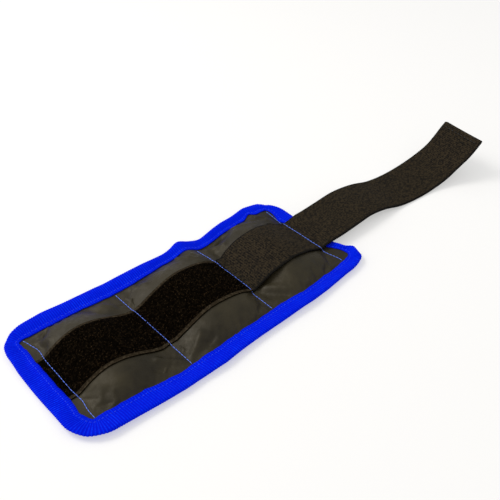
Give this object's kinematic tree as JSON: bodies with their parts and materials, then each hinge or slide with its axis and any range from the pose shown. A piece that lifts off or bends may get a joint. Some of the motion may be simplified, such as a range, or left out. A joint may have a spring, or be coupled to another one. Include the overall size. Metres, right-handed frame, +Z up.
{
  "type": "ankle cuff weight",
  "caption": "Soft ankle weight laid open: sand-filled pockets in bound cloth, a loop strip on the outer face and an elastic hook strap trailing from one end.",
  "frame": {"origin": "middle of the middle pocket's underside, on the surface the cuff lies on", "axes": "+X along the cuff towards the strap, +Y across the cuff, +Z up out of the loop face"},
  "size_m": [0.5129, 0.138, 0.0408],
  "materials": {
    "cover_cloth": "coated woven nylon, charcoal, soft sheen",
    "binding_tape": "ribbed woven binding tape, bright blue",
    "loop_pile": "brushed loop pile, black",
    "elastic_webbing": "cross-ribbed woven elastic, brown black, matte",
    "hook_pile": "moulded hooks on woven tape, black",
    "liner_film": "frosted film bag",
    "iron_sand": "fine dark iron sand",
    "sewing_thread": "blue polyester thread"
  },
  "bodies": {
    "middle_pocket": {"outer_cover_middle": "cover_cloth", "inner_cover_middle": "cover_cloth", "liner_bag_middle": "liner_film", "iron_sand_middle": "iron_sand", "binding_middle_far": "binding_tape", "binding_middle_near": "binding_tape", "loop_strip_middle": "loop_pile", "seam_thread_left_fold": "sewing_thread", "seam_thread_right_fold": "sewing_thread"},
    "left_pocket": {"outer_cover_left": "cover_cloth", "inner_cover_left": "cover_cloth", "liner_bag_left": "liner_film", "iron_sand_left": "iron_sand", "binding_left_end": "binding_tape", "loop_strip_left": "loop_pile", "seam_thread_left_end": "sewing_thread"},
    "right_pocket": {"outer_cover_right": "cover_cloth", "inner_cover_right": "cover_cloth", "liner_bag_right": "liner_film", "iron_sand_right": "iron_sand", "binding_right_end": "binding_tape", "strap_anchor": "elastic_webbing", "seam_thread_right_end": "sewing_thread"},
    "strap_base_link": {"strap_root": "elastic_webbing"},
    "strap_middle_link": {"strap_middle": "elastic_webbing"},
    "strap_tip_link": {"strap_tip": "elastic_webbing", "hook_patch": "hook_pile"}
  },
  "joints": [
    {"name": "left_pocket_fold", "type": "hinge", "parent": "middle_pocket", "child": "left_pocket", "pos_m": [-0.0435, 0, 0.0045], "axis": [0, -1, 0], "range_deg": [-25, 100]},
    {"name": "right_pocket_fold", "type": "hinge", "parent": "middle_pocket", "child": "right_pocket", "pos_m": [0.0435, 0, 0.0045], "axis": [0, 1, 0], "range_deg": [-25, 100]},
    {"name": "strap_base_bend", "type": "hinge", "parent": "right_pocket", "child": "strap_base_link", "pos_m": [0.15255, 0.001, 0.0096], "axis": [-0.047, 0.9989, 0], "range_deg": [-60, 53]},
    {"name": "strap_middle_bend", "type": "hinge", "parent": "strap_base_link", "child": "strap_middle_link", "pos_m": [0.21187, 0.00263, 0.01094], "axis": [0.0542, 0.9985, 0], "range_deg": [-45, 85]},
    {"name": "strap_tip_bend", "type": "hinge", "parent": "strap_middle_link", "child": "strap_tip_link", "pos_m": [0.308, -0.00466, 0.00688], "axis": [0.126, 0.992, 0], "range_deg": [-45, 75]}
  ]
}
